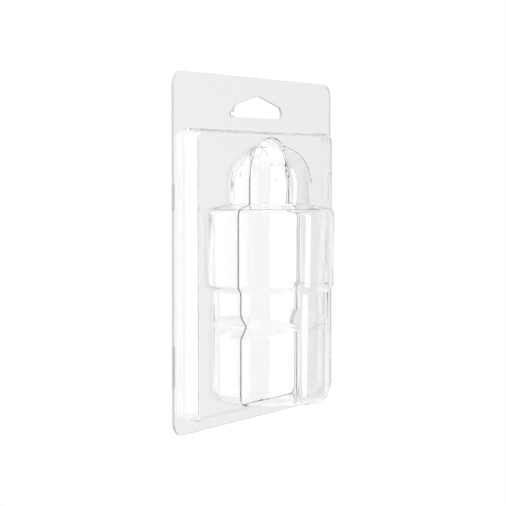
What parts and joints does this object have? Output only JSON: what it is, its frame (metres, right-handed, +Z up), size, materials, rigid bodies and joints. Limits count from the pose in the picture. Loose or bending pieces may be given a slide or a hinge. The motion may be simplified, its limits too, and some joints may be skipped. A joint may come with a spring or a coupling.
{
  "type": "clear clamshell pack",
  "caption": "Clear thermoformed clamshell pack: two thin hinged shells with a hanging hole, a raised tray and a bottle-shaped cavity",
  "frame": {"origin": "peak of the hanging hole, midway between the two flanges, where a peg bears", "axes": "+X along the width, to the right as seen from the front; -Y out of the front; +Z up the height"},
  "size_m": [0.111, 0.0449, 0.12],
  "materials": {
    "clear_sheet": "clear glossy thermoformed polyester sheet, smooth on both faces"
  },
  "bodies": {
    "back": {"back_shell": "clear_sheet"},
    "front": {"front_shell": "clear_sheet"}
  },
  "joints": [
    {"name": "front_hinge", "type": "hinge", "parent": "back", "child": "front", "pos_m": [-0.05535, 0, -0.0538], "axis": [0, 0, -1], "range_deg": [0, 180]}
  ]
}
